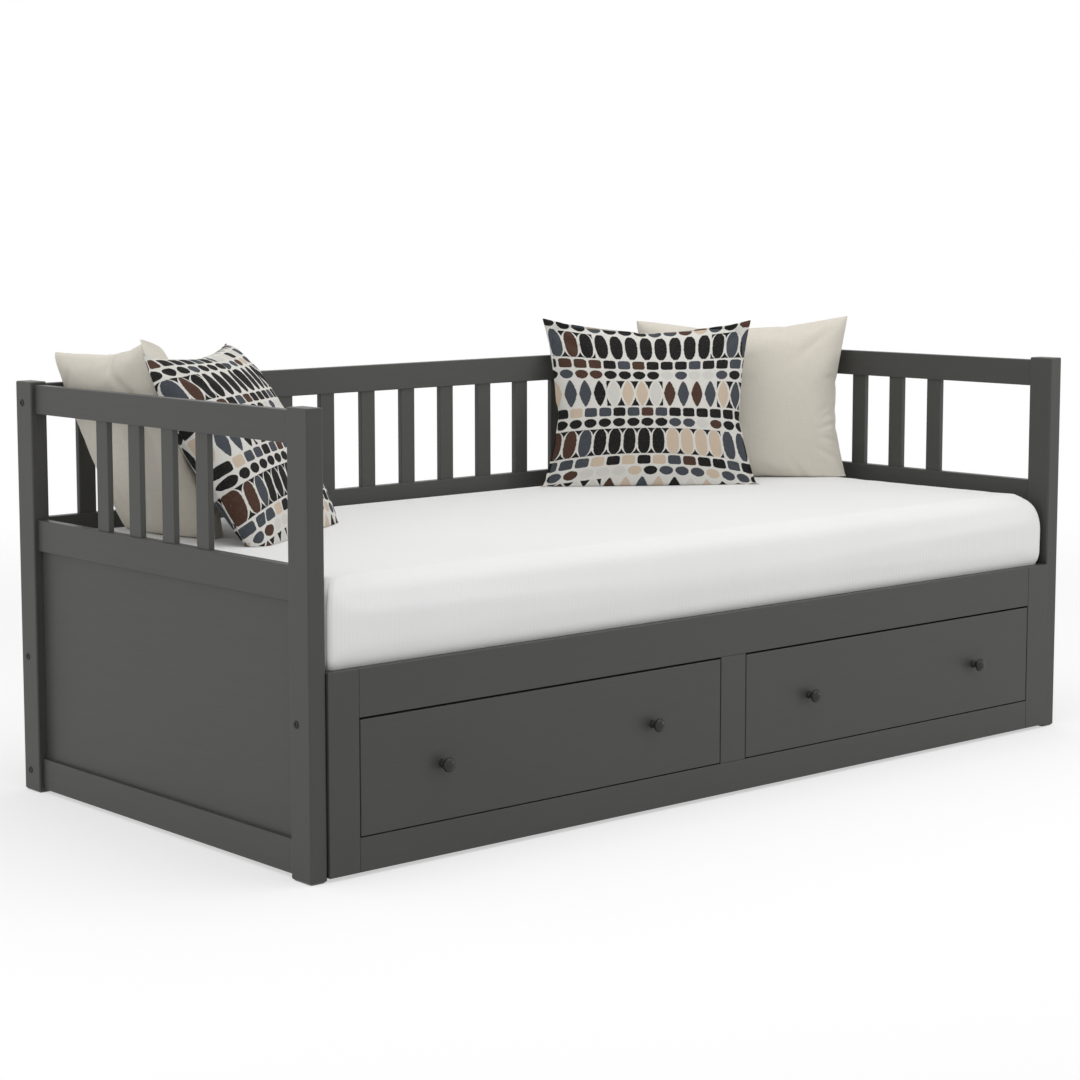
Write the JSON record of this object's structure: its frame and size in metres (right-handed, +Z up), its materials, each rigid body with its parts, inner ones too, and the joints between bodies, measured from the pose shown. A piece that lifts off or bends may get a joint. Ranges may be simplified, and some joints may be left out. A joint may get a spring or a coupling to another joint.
{
  "type": "storage daybed",
  "caption": "Painted wooden daybed slatted on three sides, with two knobbed drawers in its front frame, a slatted base, a mattress and loose cushions.",
  "frame": {"origin": "on the floor, in the middle of the part's bounding box", "axes": "+X along the length, to the right as seen from the drawers; -Y towards the drawers; +Z up"},
  "size_m": [2, 0.9608, 0.8854],
  "materials": {
    "grey_paint": "smooth satin dark grey paint on wood",
    "knob_paint": "satin near-black grey paint on wood",
    "bare_wood": "planed unpainted softwood",
    "white_ticking": "white woven mattress ticking with fine ribs",
    "beige_cloth": "plain woven beige cloth",
    "patterned_cloth": null
  },
  "bodies": {
    "bed": {"post_front_left": "grey_paint", "post_rear_left": "grey_paint", "end_left_top_rail": "grey_paint", "end_left_mid_rail": "grey_paint", "end_left_low_rail": "grey_paint", "end_left_panel": "grey_paint", "end_left_slat_1": "grey_paint", "end_left_slat_2": "grey_paint", "end_left_slat_3": "grey_paint", "end_left_slat_4": "grey_paint", "post_front_right": "grey_paint", "post_rear_right": "grey_paint", "end_right_top_rail": "grey_paint", "end_right_mid_rail": "grey_paint", "end_right_low_rail": "grey_paint", "end_right_panel": "grey_paint", "end_right_slat_1": "grey_paint", "end_right_slat_2": "grey_paint", "end_right_slat_3": "grey_paint", "end_right_slat_4": "grey_paint", "back_top_rail": "grey_paint", "back_mid_rail_and_slats": "grey_paint", "back_low_rail": "grey_paint", "bed_rail_front": "grey_paint", "bed_rail_back": "grey_paint", "frame_stile_left": "grey_paint", "frame_stile_right": "grey_paint", "frame_stile_centre": "grey_paint", "frame_top_rail": "grey_paint", "frame_low_rail": "grey_paint", "runner_board_left_1": "bare_wood", "runner_strip_left_1": "bare_wood", "runner_board_left_2": "bare_wood", "runner_strip_left_2": "bare_wood", "runner_board_right_1": "bare_wood", "runner_strip_right_1": "bare_wood", "runner_board_right_2": "bare_wood", "runner_strip_right_2": "bare_wood", "slatted_base": "bare_wood", "mattress": "white_ticking", "cushion_plain_left": "beige_cloth", "cushion_plain_right": "beige_cloth", "cushion_patterned_left": "patterned_cloth", "cushion_patterned_right": "patterned_cloth"},
    "drawer_left": {"drawer_left_front": "grey_paint", "drawer_left_side_left": "grey_paint", "drawer_left_side_right": "grey_paint", "drawer_left_back": "grey_paint", "drawer_left_bottom": "grey_paint", "drawer_left_knob_left": "knob_paint", "drawer_left_knob_right": "knob_paint"},
    "drawer_right": {"drawer_right_front": "grey_paint", "drawer_right_side_left": "grey_paint", "drawer_right_side_right": "grey_paint", "drawer_right_back": "grey_paint", "drawer_right_bottom": "grey_paint", "drawer_right_knob_left": "knob_paint", "drawer_right_knob_right": "knob_paint"}
  },
  "joints": [
    {"name": "drawer_left_slide", "type": "slide", "parent": "bed", "child": "drawer_left", "axis": [0, -1, 0], "range_m": [0, 0.48]},
    {"name": "drawer_right_slide", "type": "slide", "parent": "bed", "child": "drawer_right", "axis": [0, -1, 0], "range_m": [0, 0.48]}
  ]
}
